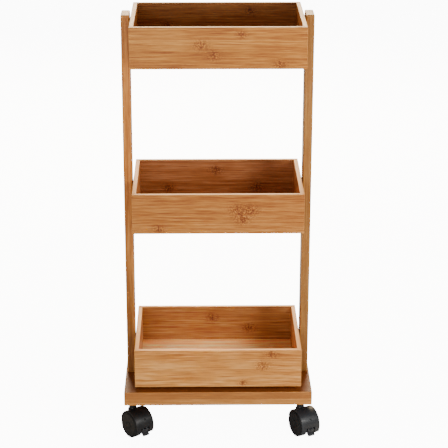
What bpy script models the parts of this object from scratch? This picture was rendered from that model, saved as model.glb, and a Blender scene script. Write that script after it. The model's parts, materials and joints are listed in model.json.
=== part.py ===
"""Rolling utility cart in bamboo: three open trays between two posts, on four twin-wheel casters.

Units are metres. +Z is up, the front of the cart faces -Y, and the origin is on the floor
under the cart's centre. Each moving piece has its origin, or its parent empty, on its axis.
"""

import math

import bmesh
import bpy
from mathutils import Matrix, Vector

# Clearance between neighbouring pieces.
GAP = 0.0003

# How far a cutting tool runs past the face that it opens.
THROUGH = 0.01

# Facets round a full turn, for small holes and shanks, fixings, caster parts and the hood.
SHANK_SIDES = 16
FIXING_SIDES = 12
TURNED_SIDES = 20
WHEEL_SIDES = 24
HOOD_SIDES = 36

# Base board.
BASE_WIDTH = 0.340
BASE_DEPTH = 0.215
BASE_THICKNESS = 0.0260
BASE_UNDERSIDE = 0.0645
BASE_EDGE_ROUND = 0.0012

# Trays: four walls around a floor panel, all glued.
TRAY_WIDTH = 0.300
TRAY_DEPTH = 0.206
TRAY_HEIGHT = 0.072
TRAY_WALL = 0.008
TRAY_FLOOR = 0.004
TRAY_EDGE_ROUND = 0.0007
TOP_TRAY_RIM = 0.7615
TRAY_PITCH = 0.295
TRAY_NAMES = ("top", "middle", "bottom")

# Posts, centred in depth, clear of the trays' sides.
POST_THICKNESS = 0.015
POST_DEPTH = 0.045
POST_TOP = 0.7645
POST_EDGE_ROUND = 0.002
POST_TO_TRAY = 0.002

# Shoulder bolts from the post's outer face into the tray's side wall.
BOLT_HEAD_RADIUS = 0.005
BOLT_HEAD_THICKNESS = 0.003
BOLT_RECESS = 0.0003
BOLT_SHOULDER_RADIUS = 0.003
BOLT_THREAD_RADIUS = 0.002
BOLT_THREAD_LENGTH = 0.006
BOLT_SOCKET_RADIUS = 0.0023
BOLT_SOCKET_DEPTH = 0.0016
BOLT_BELOW_RIM = 0.0355
BOLT_SPREAD = 0.0125

# Screws from under the base board into the posts' lower ends.
SCREW_HEAD_RADIUS = 0.0042
SCREW_HEAD_THICKNESS = 0.0026
SCREW_RECESS = 0.0008
SCREW_RADIUS = 0.0022
SCREW_INTO_POST = 0.024
SCREW_SPREAD = 0.012

# Caster mounting: a flanged insert in the base board holds a steel stem. The four stems stand
# at the corners of a rectangle whose middle is a little to the left of the board's.
STEM_X = 0.1535
STEM_OFFSET = -0.0025
STEM_INSET = 0.0265
STEM_RADIUS = 0.004
STEM_BOTTOM = 0.0482
STEM_TOP = 0.0810
STEM_BEAD_RADIUS = 0.0046
STEM_BEAD_BOTTOM = 0.0514
STEM_BEAD_LENGTH = 0.0018
INSERT_RADIUS = 0.0056
INSERT_DEPTH = 0.018
INSERT_FLANGE_RADIUS = 0.0080
INSERT_FLANGE_THICKNESS = 0.0012

# Casters, in their own frame: stem axis at x = 0, axle towards +X, floor at z = 0.
WHEEL_RADIUS = 0.0240
WHEEL_INNER_FACE = 0.0055
WHEEL_OUTER_FACE = 0.0202
WHEEL_EDGE = 0.0012
CASTER_TRAIL = 0.0144
AXLE_RADIUS = 0.0025
AXLE_HALF_LENGTH = 0.0150
HOOD_INNER_RADIUS = 0.0246
HOOD_OUTER_RADIUS = 0.0265
HOOD_HALF_WIDTH = 0.0187
HOOD_WEB_HALF_WIDTH = 0.0025
HOOD_START_DEG = -31.0
HOOD_END_DEG = 166.0
HOOD_BOSS_RADIUS = 0.0062
NECK_RADIUS = 0.0066

# Brake lever: pad in the hood's slot, on a pin through the hood's web.
LEVER_SLOT_HALF_WIDTH = 0.0090
LEVER_SLOT_DEG = (-38.0, 0.0)
LEVER_SLOT_DEPTH = 0.0015
LEVER_HALF_WIDTH = 0.0068
LEVER_PAD_DEG = (-30.0, -9.0)
LEVER_PAD_RADII = (0.0249, 0.0268)
LEVER_TAB_DEG = (-30.0, -23.0)
LEVER_TAB_RADIUS = 0.0325
LEVER_PIVOT_RADIUS = 0.0195
LEVER_PIVOT_DEG = -5.0
LEVER_PIN_RADIUS = 0.0014
LEVER_EAR = (0.0029, 0.0049)
LEVER_EAR_RADIUS = 0.0024

# Where each caster stands, the way it trails (degrees from +X), and whether it has a brake.
CASTERS = {
    "front_left": (-1, -1, -53.0, True),
    "front_right": (1, -1, -64.0, True),
    "rear_left": (-1, 1, 8.0, False),
    "rear_right": (1, 1, 88.0, False),
}

BASE_TOP = BASE_UNDERSIDE + BASE_THICKNESS
POST_INNER_X = TRAY_WIDTH / 2 + POST_TO_TRAY
POST_OUTER_X = POST_INNER_X + POST_THICKNESS
TRAY_RIMS = [TOP_TRAY_RIM - index * TRAY_PITCH for index in range(len(TRAY_NAMES))]

ALONG_X = Matrix.Rotation(math.radians(90.0), 4, "Y")
ALONG_Y = Matrix.Rotation(math.radians(-90.0), 4, "X")


def clear_scene():
    """Remove every object, so the file holds only the cart."""
    for item in list(bpy.data.objects):
        bpy.data.objects.remove(item, do_unlink=True)


def make_material(name, color, roughness, metallic=0.0):
    """Return a Principled material."""
    material = bpy.data.materials.new(name)
    material.use_nodes = True
    shader = material.node_tree.nodes["Principled BSDF"]
    shader.inputs["Base Color"].default_value = (*color, 1.0)
    shader.inputs["Roughness"].default_value = roughness
    shader.inputs["Metallic"].default_value = metallic
    material.diffuse_color = (*color, 1.0)
    return material


def mesh_from(bm, name="shape"):
    """Close a bmesh into a mesh whose faces point out."""
    bmesh.ops.recalc_face_normals(bm, faces=bm.faces)
    mesh = bpy.data.meshes.new(name)
    bm.to_mesh(mesh)
    bm.free()
    return mesh


def board_mesh(low, high, round_edges=0.0, steps=1, upright_only=False):
    """A board between two corners, with all its edges or only the upright ones rounded."""
    bm = bmesh.new()
    bmesh.ops.create_cube(bm, size=1.0)
    low, high = Vector(low), Vector(high)
    size = high - low
    for vertex in bm.verts:
        vertex.co = Vector(a * b for a, b in zip(vertex.co, size)) + (low + high) / 2
    edges = list(bm.edges)
    if upright_only:
        edges = [edge for edge in edges if abs(edge.verts[0].co.z - edge.verts[1].co.z) > size.z / 2]
    if round_edges:
        bmesh.ops.bevel(bm, geom=edges, offset=round_edges, segments=steps,
                        profile=0.5, affect="EDGES")
    return mesh_from(bm)


def lathe_mesh(profile, segments, turn=None, closed=False):
    """Turn (radius, z) points about Z. An open profile starts and ends on the axis."""
    bm = bmesh.new()
    rings = []
    for radius, height in profile:
        if radius == 0.0:
            rings.append([bm.verts.new((0.0, 0.0, height))])
            continue
        ring = []
        for step in range(segments):
            angle = 2 * math.pi * step / segments
            ring.append(bm.verts.new((radius * math.cos(angle), radius * math.sin(angle), height)))
        rings.append(ring)
    pairs = list(zip(rings, rings[1:]))
    if closed:
        pairs.append((rings[-1], rings[0]))
    for lower, upper in pairs:
        for step in range(segments):
            following = (step + 1) % segments
            if len(lower) == 1:
                bm.faces.new((lower[0], upper[step], upper[following]))
            elif len(upper) == 1:
                bm.faces.new((lower[step], lower[following], upper[0]))
            else:
                bm.faces.new((lower[step], lower[following], upper[following], upper[step]))
    if turn is not None:
        bm.transform(turn)
    return mesh_from(bm)


def rod_mesh(radius, start, end, segments, turn=None):
    """A plain round bar along Z from start to end."""
    profile = [(0.0, start), (radius, start), (radius, end), (0.0, end)]
    return lathe_mesh(profile, segments, turn)


def slab_mesh(outline, start, end):
    """Extrude an outline of (x, z) points along Y from start to end."""
    bm = bmesh.new()
    near = [bm.verts.new((x, start, z)) for x, z in outline]
    far = [bm.verts.new((x, end, z)) for x, z in outline]
    bm.faces.new(near)
    bm.faces.new(list(reversed(far)))
    count = len(outline)
    for index in range(count):
        following = (index + 1) % count
        bm.faces.new((near[index], far[index], far[following], near[following]))
    return mesh_from(bm)


def polar(radius, degrees):
    """A point on a circle about the origin."""
    angle = math.radians(degrees)
    return (radius * math.cos(angle), radius * math.sin(angle))


def arc_points(radius, start_deg, end_deg, steps):
    """Points on a circle about the origin, both ends included."""
    turn = (end_deg - start_deg) / steps
    return [polar(radius, start_deg + turn * step) for step in range(steps + 1)]


def sector_mesh(radii, degrees, half_width, steps):
    """A piece of a ring about the Y axis."""
    inner, outer = radii
    outline = arc_points(outer, *degrees, steps) + arc_points(inner, *reversed(degrees), steps)
    return slab_mesh(outline, -half_width, half_width)


def add_object(name, mesh, material, parent=None, location=(0.0, 0.0, 0.0)):
    """Link a mesh into the scene as a named object with its material."""
    item = bpy.data.objects.new(name, mesh)
    bpy.context.scene.collection.objects.link(item)
    mesh.name = name
    mesh.materials.clear()
    mesh.materials.append(material)
    item.parent = parent
    item.location = location
    return item


def shade_round(item, sharp_deg=32.0):
    """Shade a round piece smooth, with its real edges kept sharp."""
    item.data.shade_smooth()
    item.data.set_sharp_from_angle(angle=math.radians(sharp_deg))


def joined(meshes):
    """Put several meshes into one, still as separate bodies."""
    bm = bmesh.new()
    for mesh in meshes:
        bm.from_mesh(mesh)
    return mesh_from(bm)


def combine(item, tool_mesh, operation):
    """Apply one exact boolean to an object and drop the tool."""
    tool = bpy.data.objects.new("tool", tool_mesh)
    bpy.context.scene.collection.objects.link(tool)
    modifier = item.modifiers.new("cut", "BOOLEAN")
    modifier.operation = operation
    modifier.solver = "EXACT"
    modifier.object = tool
    depsgraph = bpy.context.evaluated_depsgraph_get()
    result = bpy.data.meshes.new_from_object(item.evaluated_get(depsgraph))
    result.name = item.data.name
    item.modifiers.remove(modifier)
    item.data = result
    bpy.data.objects.remove(tool, do_unlink=True)


def moved(mesh, offset):
    """Shift a mesh and return it."""
    mesh.transform(Matrix.Translation(offset))
    return mesh


def caster_spots():
    """Name, stem position, trailing direction and brake flag of each caster."""
    stem_y = BASE_DEPTH / 2 - STEM_INSET
    for name, (side_x, side_y, trail_deg, braked) in CASTERS.items():
        yield name, Vector((side_x * STEM_X + STEM_OFFSET, side_y * stem_y, 0.0)), math.radians(trail_deg), braked


def screw_spots():
    """Plan positions of the screws that hold the posts, with their names."""
    post_x = (POST_INNER_X + POST_OUTER_X) / 2
    for side, side_x in (("left", -1), ("right", 1)):
        for end, side_y in (("front", -1), ("rear", 1)):
            yield f"{side}_post_screw_{end}", side_x * post_x, side_y * SCREW_SPREAD


def bolt_spots(side_x):
    """Tray name, end name, y and z of the bolts on one side."""
    for tray, rim in zip(TRAY_NAMES, TRAY_RIMS):
        for end, side_y in (("front", -1), ("rear", 1)):
            yield tray, end, side_y * BOLT_SPREAD, rim - BOLT_BELOW_RIM


def make_base_board(wood):
    """The base board, drilled from beneath for the caster inserts and the post screws."""
    low = (-BASE_WIDTH / 2, -BASE_DEPTH / 2, BASE_UNDERSIDE)
    high = (BASE_WIDTH / 2, BASE_DEPTH / 2, BASE_TOP)
    board = add_object("base_board", board_mesh(low, high, BASE_EDGE_ROUND), wood)
    below = BASE_UNDERSIDE - THROUGH
    holes = []
    for _, stem, _, _ in caster_spots():
        hole = rod_mesh(INSERT_RADIUS + GAP, below, BASE_UNDERSIDE + INSERT_DEPTH + GAP,
                        TURNED_SIDES)
        holes.append(moved(hole, stem))
    seat = BASE_UNDERSIDE + SCREW_RECESS + SCREW_HEAD_THICKNESS + GAP
    stepped = [(0.0, below), (SCREW_HEAD_RADIUS + GAP, below), (SCREW_HEAD_RADIUS + GAP, seat),
               (SCREW_RADIUS + GAP, seat), (SCREW_RADIUS + GAP, BASE_TOP + THROUGH),
               (0.0, BASE_TOP + THROUGH)]
    for _, x, y in screw_spots():
        holes.append(moved(lathe_mesh(stepped, SHANK_SIDES), Vector((x, y, 0.0))))
    combine(board, joined(holes), "DIFFERENCE")


def make_post(side, side_x, wood):
    """One post, with stepped bolt holes and two screw holes in its lower end."""
    inner, outer = sorted((side_x * POST_INNER_X, side_x * POST_OUTER_X))
    foot = BASE_TOP + GAP
    low = (inner, -POST_DEPTH / 2, foot)
    high = (outer, POST_DEPTH / 2, POST_TOP)
    shape = board_mesh(low, high, POST_EDGE_ROUND, steps=3, upright_only=True)
    post = add_object(f"{side}_post", shape, wood)
    turn = ALONG_X if side_x > 0 else ALONG_X.inverted()
    seat = POST_OUTER_X - BOLT_RECESS - BOLT_HEAD_THICKNESS - GAP
    start = POST_INNER_X - POST_TO_TRAY / 2
    end = POST_OUTER_X + THROUGH
    stepped = [(0.0, start), (BOLT_SHOULDER_RADIUS + GAP, start), (BOLT_SHOULDER_RADIUS + GAP, seat),
               (BOLT_HEAD_RADIUS + GAP, seat), (BOLT_HEAD_RADIUS + GAP, end), (0.0, end)]
    holes = []
    for _, _, y, z in bolt_spots(side_x):
        holes.append(moved(lathe_mesh(stepped, SHANK_SIDES, turn), Vector((0.0, y, z))))
    for name, x, y in screw_spots():
        if name.startswith(side):
            pilot = rod_mesh(SCREW_RADIUS + GAP, foot - THROUGH, BASE_TOP + SCREW_INTO_POST + GAP,
                             SHANK_SIDES)
            holes.append(moved(pilot, Vector((x, y, 0.0))))
    combine(post, joined(holes), "DIFFERENCE")


def make_tray(tray, rim, wood):
    """Front and back walls, side walls between them, and a floor panel inside all four."""
    bottom = rim - TRAY_HEIGHT
    half_x, half_y = TRAY_WIDTH / 2, TRAY_DEPTH / 2
    inner_x = half_x - TRAY_WALL
    inner_y = half_y - TRAY_WALL
    for name, side_y in (("front", -1), ("back", 1)):
        near, far = sorted((side_y * inner_y, side_y * half_y))
        mesh = board_mesh((-half_x, near, bottom), (half_x, far, rim), TRAY_EDGE_ROUND)
        add_object(f"{tray}_tray_{name}", mesh, wood)
    for name, side_x in (("left", -1), ("right", 1)):
        near, far = sorted((side_x * inner_x, side_x * half_x))
        mesh = board_mesh((near, -inner_y + GAP, bottom), (far, inner_y - GAP, rim), TRAY_EDGE_ROUND)
        wall = add_object(f"{tray}_tray_{name}", mesh, wood)
        turn = ALONG_X if side_x > 0 else ALONG_X.inverted()
        pilots = []
        for bolt_tray, _, y, z in bolt_spots(side_x):
            if bolt_tray == tray:
                pilot = rod_mesh(BOLT_THREAD_RADIUS + GAP, half_x - BOLT_THREAD_LENGTH - GAP,
                                 half_x + THROUGH, FIXING_SIDES, turn)
                pilots.append(moved(pilot, Vector((0.0, y, z))))
        combine(wall, joined(pilots), "DIFFERENCE")
    panel = board_mesh((-inner_x + GAP, -inner_y + GAP, bottom),
                       (inner_x - GAP, inner_y - GAP, bottom + TRAY_FLOOR))
    add_object(f"{tray}_tray_floor", panel, wood)


def make_bolts(side, side_x, steel):
    """Shoulder bolts: head in the post, shoulder up to the tray's wall, thread into it."""
    head_top = POST_OUTER_X - BOLT_RECESS
    head_seat = head_top - BOLT_HEAD_THICKNESS
    shoulder_end = TRAY_WIDTH / 2 + GAP
    thread_end = TRAY_WIDTH / 2 - BOLT_THREAD_LENGTH
    profile = [(0.0, thread_end), (BOLT_THREAD_RADIUS, thread_end),
               (BOLT_THREAD_RADIUS, shoulder_end), (BOLT_SHOULDER_RADIUS, shoulder_end),
               (BOLT_SHOULDER_RADIUS, head_seat), (BOLT_HEAD_RADIUS, head_seat),
               (BOLT_HEAD_RADIUS, head_top), (0.0, head_top)]
    turn = ALONG_X if side_x > 0 else ALONG_X.inverted()
    for tray, end, y, z in bolt_spots(side_x):
        bolt = add_object(f"{tray}_tray_{side}_bolt_{end}", lathe_mesh(profile, FIXING_SIDES, turn),
                          steel, location=(0.0, y, z))
        socket = rod_mesh(BOLT_SOCKET_RADIUS, head_top - BOLT_SOCKET_DEPTH, head_top + THROUGH, 6, turn)
        combine(bolt, moved(socket, bolt.location), "DIFFERENCE")
        shade_round(bolt)


def make_post_screws(steel):
    """Pan-head screws up through the base board into the posts."""
    seat = BASE_UNDERSIDE + SCREW_RECESS + SCREW_HEAD_THICKNESS
    tip = BASE_TOP + SCREW_INTO_POST
    profile = [(0.0, BASE_UNDERSIDE + SCREW_RECESS),
               (SCREW_HEAD_RADIUS * 0.8, BASE_UNDERSIDE + SCREW_RECESS),
               (SCREW_HEAD_RADIUS, BASE_UNDERSIDE + SCREW_RECESS + SCREW_HEAD_THICKNESS / 2),
               (SCREW_HEAD_RADIUS, seat), (SCREW_RADIUS, seat),
               (SCREW_RADIUS, tip - 2 * SCREW_RADIUS), (0.0, tip)]
    for name, x, y in screw_spots():
        screw = add_object(name, lathe_mesh(profile, FIXING_SIDES), steel, location=(x, y, 0.0))
        shade_round(screw)


def hood_outline():
    """Side outline of the hood about the axle: cover arc, its two ends, and the boss under the axle."""
    cover = arc_points(HOOD_OUTER_RADIUS, HOOD_START_DEG, HOOD_END_DEG, 22)
    rear_foot = polar(HOOD_INNER_RADIUS - 2 * GAP, HOOD_END_DEG)
    front_foot = polar(HOOD_INNER_RADIUS - 2 * GAP, HOOD_START_DEG)
    boss = arc_points(HOOD_BOSS_RADIUS, HOOD_END_DEG + 20.0, HOOD_START_DEG + 350.0, 5)
    return [*cover, rear_foot, *boss, front_foot]


def make_hood(name, swivel, braked, plastic):
    """Cover, web and neck in one moulding, open at the sides and below for the wheels."""
    axle = Vector((CASTER_TRAIL, 0.0, WHEEL_RADIUS))
    body = moved(slab_mesh(hood_outline(), -HOOD_HALF_WIDTH, HOOD_HALF_WIDTH), axle)
    hood = add_object(f"{name}_caster_hood", body, plastic, swivel)
    neck_top = BASE_UNDERSIDE - INSERT_FLANGE_THICKNESS - 2 * GAP
    neck = rod_mesh(NECK_RADIUS, WHEEL_RADIUS + HOOD_INNER_RADIUS / 2, neck_top, TURNED_SIDES)
    place = swivel.matrix_world
    neck.transform(place)
    combine(hood, neck, "UNION")
    cuts = []
    for side_y in (-1, 1):
        near, far = sorted((side_y * HOOD_WEB_HALF_WIDTH, side_y * 2 * HOOD_HALF_WIDTH))
        cuts.append(moved(rod_mesh(HOOD_INNER_RADIUS, near, far, HOOD_SIDES, ALONG_Y), axle))
    for cut in cuts:
        cut.transform(place)
        combine(hood, cut, "DIFFERENCE")
    reach = HOOD_HALF_WIDTH + THROUGH
    bores = [moved(rod_mesh(AXLE_RADIUS + GAP, -reach, reach, SHANK_SIDES, ALONG_Y), axle)]
    bead_low = STEM_BEAD_BOTTOM - GAP
    bead_high = STEM_BEAD_BOTTOM + STEM_BEAD_LENGTH + GAP
    bore = STEM_RADIUS + GAP
    groove = STEM_BEAD_RADIUS + GAP
    bores.append(lathe_mesh([(0.0, STEM_BOTTOM - GAP), (bore, STEM_BOTTOM - GAP), (bore, bead_low),
                             (groove, bead_low), (groove, bead_high), (bore, bead_high),
                             (bore, neck_top + THROUGH), (0.0, neck_top + THROUGH)],
                            SHANK_SIDES))
    if braked:
        slot = sector_mesh((HOOD_INNER_RADIUS - LEVER_SLOT_DEPTH, HOOD_OUTER_RADIUS + THROUGH),
                           LEVER_SLOT_DEG, LEVER_SLOT_HALF_WIDTH, 6)
        bores.append(moved(slot, axle))
        pin_x, pin_z = lever_pivot()
        reach = HOOD_WEB_HALF_WIDTH + THROUGH
        pin = rod_mesh(LEVER_PIN_RADIUS + GAP, -reach, reach, FIXING_SIDES, ALONG_Y)
        bores.append(moved(pin, Vector((pin_x, 0.0, pin_z))))
    tool = joined(bores)
    tool.transform(place)
    combine(hood, tool, "DIFFERENCE")
    shade_round(hood)


def lever_pivot():
    """Brake lever's pivot in the caster's frame, as (x, z)."""
    x, z = polar(LEVER_PIVOT_RADIUS, LEVER_PIVOT_DEG)
    return (CASTER_TRAIL + x, WHEEL_RADIUS + z)


def make_lever(name, swivel, plastic):
    """Curved pad with a toe tab, two ears either side of the web, and the pin between them."""
    pin_x, pin_z = lever_pivot()
    pivot = Vector((pin_x, 0.0, pin_z))
    to_axle = Vector((CASTER_TRAIL, 0.0, WHEEL_RADIUS)) - pivot
    pad = moved(sector_mesh(LEVER_PAD_RADII, LEVER_PAD_DEG, LEVER_HALF_WIDTH, 6), to_axle)
    lever = add_object(f"{name}_brake_lever", pad, plastic, swivel, pivot)
    bpy.context.view_layer.update()
    place = lever.matrix_world
    tab_radii = (LEVER_PAD_RADII[1] - 0.0004, LEVER_TAB_RADIUS)
    tab = moved(sector_mesh(tab_radii, LEVER_TAB_DEG, LEVER_HALF_WIDTH * 0.94, 2), to_axle)
    ear_tip = arc_points(sum(LEVER_PAD_RADII) / 2, LEVER_PAD_DEG[1] - 1.0, LEVER_PAD_DEG[1] - 9.0, 2)
    ear_tip = [(x + to_axle.x, z + to_axle.z) for x, z in ear_tip]
    eye = arc_points(LEVER_EAR_RADIUS, 255.0, 75.0, 8)
    ears = []
    for side_y in (-1, 1):
        near, far = sorted((side_y * LEVER_EAR[0], side_y * LEVER_EAR[1]))
        ears.append(slab_mesh(eye + ear_tip, near, far))
    pin = rod_mesh(LEVER_PIN_RADIUS, -LEVER_EAR[1] + GAP, LEVER_EAR[1] - GAP, FIXING_SIDES,
                   ALONG_Y)
    for piece in [tab, *ears, pin]:
        piece.transform(place)
        combine(lever, piece, "UNION")
    shade_round(lever)


def make_wheels(name, swivel, plastic):
    """Two wheels, closed outside, each with a blind hub bore for the axle."""
    inner, outer = WHEEL_INNER_FACE, WHEEL_OUTER_FACE
    profile = [(0.0, AXLE_HALF_LENGTH + GAP), (AXLE_RADIUS + GAP, AXLE_HALF_LENGTH + GAP),
               (AXLE_RADIUS + GAP, inner), (WHEEL_RADIUS - WHEEL_EDGE / 2, inner),
               (WHEEL_RADIUS, inner + WHEEL_EDGE), (WHEEL_RADIUS, outer - 3 * WHEEL_EDGE),
               (WHEEL_RADIUS - WHEEL_EDGE, outer - WHEEL_EDGE / 2), (0.0, outer)]
    for side, turn in (("left", ALONG_Y), ("right", ALONG_Y.inverted())):
        wheel = add_object(f"{name}_caster_wheel_{side}", lathe_mesh(profile, WHEEL_SIDES, turn),
                           plastic, swivel, (CASTER_TRAIL, 0.0, WHEEL_RADIUS))
        shade_round(wheel)


def make_caster(name, stem_place, trail, braked, materials):
    """Insert and stem fixed in the base board, and the swivelling rest of the caster."""
    insert_profile = [(STEM_RADIUS + GAP, BASE_UNDERSIDE - GAP - INSERT_FLANGE_THICKNESS),
                      (INSERT_FLANGE_RADIUS, BASE_UNDERSIDE - GAP - INSERT_FLANGE_THICKNESS),
                      (INSERT_FLANGE_RADIUS, BASE_UNDERSIDE - GAP),
                      (INSERT_RADIUS, BASE_UNDERSIDE - GAP),
                      (INSERT_RADIUS, BASE_UNDERSIDE + INSERT_DEPTH),
                      (STEM_RADIUS + GAP, BASE_UNDERSIDE + INSERT_DEPTH)]
    insert = add_object(f"{name}_caster_insert", lathe_mesh(insert_profile, TURNED_SIDES, closed=True),
                        materials["zinc"], location=stem_place)
    shade_round(insert)
    bead_top = STEM_BEAD_BOTTOM + STEM_BEAD_LENGTH
    stem_profile = [(0.0, STEM_BOTTOM), (STEM_RADIUS, STEM_BOTTOM), (STEM_RADIUS, STEM_BEAD_BOTTOM),
                    (STEM_BEAD_RADIUS, STEM_BEAD_BOTTOM), (STEM_BEAD_RADIUS, bead_top),
                    (STEM_RADIUS, bead_top), (STEM_RADIUS, STEM_TOP), (0.0, STEM_TOP)]
    stem = add_object(f"{name}_caster_stem", lathe_mesh(stem_profile, SHANK_SIDES), materials["steel"],
                      location=stem_place)
    shade_round(stem)
    swivel = bpy.data.objects.new(f"{name}_swivel", None)
    bpy.context.scene.collection.objects.link(swivel)
    swivel.location = stem_place
    swivel.rotation_euler = (0.0, 0.0, trail)
    bpy.context.view_layer.update()
    make_hood(name, swivel, braked, materials["caster"])
    axle = add_object(f"{name}_caster_axle",
                      rod_mesh(AXLE_RADIUS, -AXLE_HALF_LENGTH, AXLE_HALF_LENGTH, SHANK_SIDES, ALONG_Y),
                      materials["steel"], swivel, (CASTER_TRAIL, 0.0, WHEEL_RADIUS))
    shade_round(axle)
    make_wheels(name, swivel, materials["wheel"])
    if braked:
        make_lever(name, swivel, materials["lever"])


def main():
    """Build the cart."""
    clear_scene()
    wood = make_material("bamboo", (0.52, 0.27, 0.10), 0.45)
    materials = {
        "steel": make_material("steel", (0.55, 0.55, 0.56), 0.35, 1.0),
        "zinc": make_material("zinc", (0.62, 0.62, 0.60), 0.45, 1.0),
        "caster": make_material("caster_plastic", (0.018, 0.019, 0.020), 0.42),
        "wheel": make_material("wheel_plastic", (0.014, 0.014, 0.015), 0.50),
        "lever": make_material("lever_plastic", (0.030, 0.031, 0.033), 0.45),
    }
    make_base_board(wood)
    for side, side_x in (("left", -1), ("right", 1)):
        make_post(side, side_x, wood)
        make_bolts(side, side_x, materials["steel"])
    for tray, rim in zip(TRAY_NAMES, TRAY_RIMS):
        make_tray(tray, rim, wood)
    make_post_screws(materials["steel"])
    for name, stem_place, trail, braked in caster_spots():
        make_caster(name, stem_place, trail, braked, materials)


main()
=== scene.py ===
"""Looks of the rolling utility cart: laminated bamboo boards, moulded casters and steel fixings.

Units are metres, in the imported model's frame: +Z is up, the front faces -Y, and the origin is on
the floor under the middle of the base board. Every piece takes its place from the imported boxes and
joints.
"""

import json
import math
import random

import bmesh
import bpy
from mathutils import Matrix, Vector


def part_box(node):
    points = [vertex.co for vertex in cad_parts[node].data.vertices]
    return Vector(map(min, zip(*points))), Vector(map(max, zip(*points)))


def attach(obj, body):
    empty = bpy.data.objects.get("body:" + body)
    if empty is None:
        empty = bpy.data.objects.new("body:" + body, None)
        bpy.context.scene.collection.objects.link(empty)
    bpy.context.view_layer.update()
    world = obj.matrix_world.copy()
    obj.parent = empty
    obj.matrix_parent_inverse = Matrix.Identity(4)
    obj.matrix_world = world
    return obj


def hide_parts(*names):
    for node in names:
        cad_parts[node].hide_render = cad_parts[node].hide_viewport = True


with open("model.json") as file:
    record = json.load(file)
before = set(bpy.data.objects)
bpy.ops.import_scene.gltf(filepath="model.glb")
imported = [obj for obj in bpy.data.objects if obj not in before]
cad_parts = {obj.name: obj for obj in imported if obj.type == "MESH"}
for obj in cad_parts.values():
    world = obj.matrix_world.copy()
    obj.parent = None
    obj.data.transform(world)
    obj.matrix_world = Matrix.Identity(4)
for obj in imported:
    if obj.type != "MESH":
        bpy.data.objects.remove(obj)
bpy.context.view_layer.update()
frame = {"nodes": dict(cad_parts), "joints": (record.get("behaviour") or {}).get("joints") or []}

CART = "cart_frame"
TRAYS = ("top", "middle", "bottom")
CORNERS = ("front_left", "front_right", "rear_left", "rear_right")
JOINTS = {joint["name"]: joint for joint in frame["joints"]}
MM = 0.001

# Boards: radius of the rounded edges, and how far a tray's sides and floor reach into its joints.
WALL_ROUND = 0.9 * MM
FLOOR_ROUND = 0.4 * MM
BASE_ROUND = 1.6 * MM
POST_ROUND = 2.0 * MM
ROUND_STEPS = 3
JOINT_GROWTH = 0.35 * MM

# Inserts, and the holes that the boards have for them and for the bolts and screws.
CLEARANCE = 0.3 * MM
BOLT_SEAT = 3.6 * MM
SCREW_SEAT = 2.6 * MM
INSERT_BARREL = 5.6 * MM
INSERT_BORE = 4.3 * MM
INSERT_FLANGE = 1.2 * MM
HOLE_SIDES = 32

# Bamboo: laths glued side by side, in layers.
LATH_WIDTH = 19.5 * MM
THICK_BOARD = 19.2 * MM
LAYER_STAGGER = 0.37
GLUE_LINE = 0.30 * MM
KNUCKLE_WIDTH = 9.2 * MM
KNUCKLE_LENGTH = 13.5 * MM
RIDGE_LENGTH = 1.3 * MM
RIDGE_BEND = 28.0
WANDER_REACH = 1.0 * MM
SWIRL_REACH = 9.0 * MM

# Streaks of the grain: lumps per metre along it and across it, detail, and roughness.
BROAD_STREAKS = (3.0, 70.0, 2.0, 0.55)
MIDDLE_STREAKS = (12.0, 390.0, 2.5, 0.62)
FINE_STREAKS = (40.0, 1200.0, 2.0, 0.55)
BUNDLE_STREAKS = (34.0, 2300.0, 0.0, 0.55)
# How much the broad, middle and fine streaks, the lath's chance and the mottle set the shade.
SHADE_SHARES = (0.28, 0.80, 0.40, 0.10, 0.04)
SHADE_LIMITS = (0.64, 0.98)

# Colours of the bamboo, as (place, colour) stops or as multipliers of the wood's own colour.
WOOD_COLORS = [(0.0, (0.330, 0.090, 0.0085)), (0.35, (0.480, 0.163, 0.0200)),
               (0.65, (0.600, 0.232, 0.0340)), (1.0, (0.760, 0.345, 0.0720))]
BRIGHTEST_WOOD = 0.95
DASH_STAIN, DASH_STRENGTH = (0.60, 0.44, 0.30), 0.50
GLUE_STAIN, GLUE_STRENGTH = (0.58, 0.42, 0.28), 0.45
KNUCKLE_STAIN, KNUCKLE_STRENGTH = (1.22, 1.20, 1.15), 0.95
DOT_STAIN = (0.44, 0.30, 0.22)
RIDGE_STAIN, RIDGE_STRENGTH = (0.50, 0.31, 0.20), 0.70
EDGE_COLOR, EDGE_WEAR, PALE_EDGE = (0.97, 0.44, 0.110), 0.55, 0.85
END_COLORS, END_STRENGTH = ((0.66, 0.30, 0.085), (0.34, 0.12, 0.020)), 0.75
WOOD_ROUGHNESS = (0.40, 0.54)
# Heights on a post between which its painted shade at the foot fades out.
PAINTED_FOOT_SHADE_HEIGHTS = (0.12, 0.52)

# Plastic and metal: the grain's size, how many lumps of the other patterns a metre holds, and
# the factor and step by which dust and rubbing make a plastic lighter.
PLASTIC_GRAIN = 0.55 * MM
PLASTIC_FLOW = 90.0
DUST_LIFT = (1.9, 0.004)
RUB_LIFT = (2.6, 0.02)
TURNING_PLAIN = 420.0
TURNING_FINE = 4200.0
METAL_SPOTS = 260.0


# ---------------------------------------------------------------- shader nodes


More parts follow.
